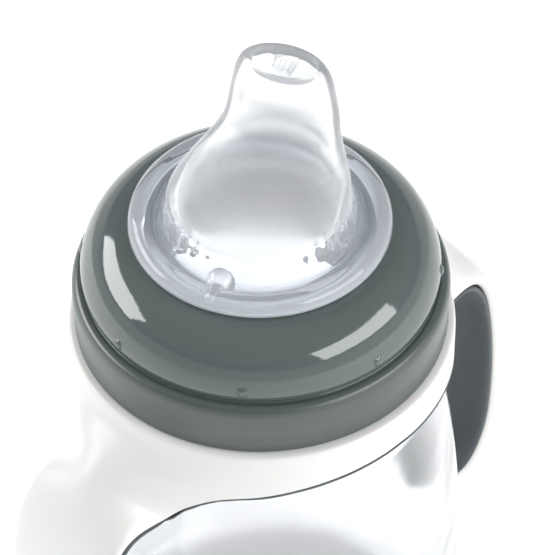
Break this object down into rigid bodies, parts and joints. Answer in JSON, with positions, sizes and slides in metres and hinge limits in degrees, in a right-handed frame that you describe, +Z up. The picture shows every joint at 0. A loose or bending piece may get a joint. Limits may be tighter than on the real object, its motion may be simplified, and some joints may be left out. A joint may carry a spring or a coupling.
{
  "type": "sippy cup",
  "caption": "Training cup with a clear wide-neck bottle, clip-on collar with two soft-lined handles, dark screw ring and a soft drinking spout.",
  "frame": {"origin": "centre of the bottle's resting face, on the surface it stands on", "axes": "+Z up along the bottle's axis, the two handles on +X and -X, the spout leaning towards 23 degrees from +X in the XY plane"},
  "size_m": [0.1152, 0.0768, 0.1572],
  "materials": {
    "clear_plastic": "clear, slightly milky polypropylene",
    "white_plastic": "satin warm white",
    "grey_soft": "matt soft-touch elastomer",
    "grey_plastic": "glossy dome over a satin skirt",
    "silicone": "translucent silicone, frosted spout"
  },
  "bodies": {
    "bottle": {"bottle_body": "clear_plastic"},
    "handles": {"handle_frame": "white_plastic", "collar_liner": "grey_soft", "grip_left": "grey_soft", "grip_right": "grey_soft"},
    "spout": {"drinking_spout": "silicone"},
    "ring": {"screw_ring": "grey_plastic"}
  },
  "joints": [
    {"name": "handle_swivel", "type": "hinge", "parent": "bottle", "child": "handles", "pos_m": [0, 0, 0.1], "axis": [0, 0, 1], "continuous": true},
    {"name": "spout_rise", "type": "slide", "parent": "bottle", "child": "spout", "axis": [0, 0, 1], "range_m": [0, 0.006]},
    {"name": "ring_turn", "type": "hinge", "parent": "spout", "child": "ring", "pos_m": [0, 0, 0.115], "axis": [0, 0, 1], "range_deg": [0, 360]}
  ],
  "couplings": [
    {"joint": "spout_rise", "follows": "ring_turn", "m_per_rad": 0.00095493}
  ]
}
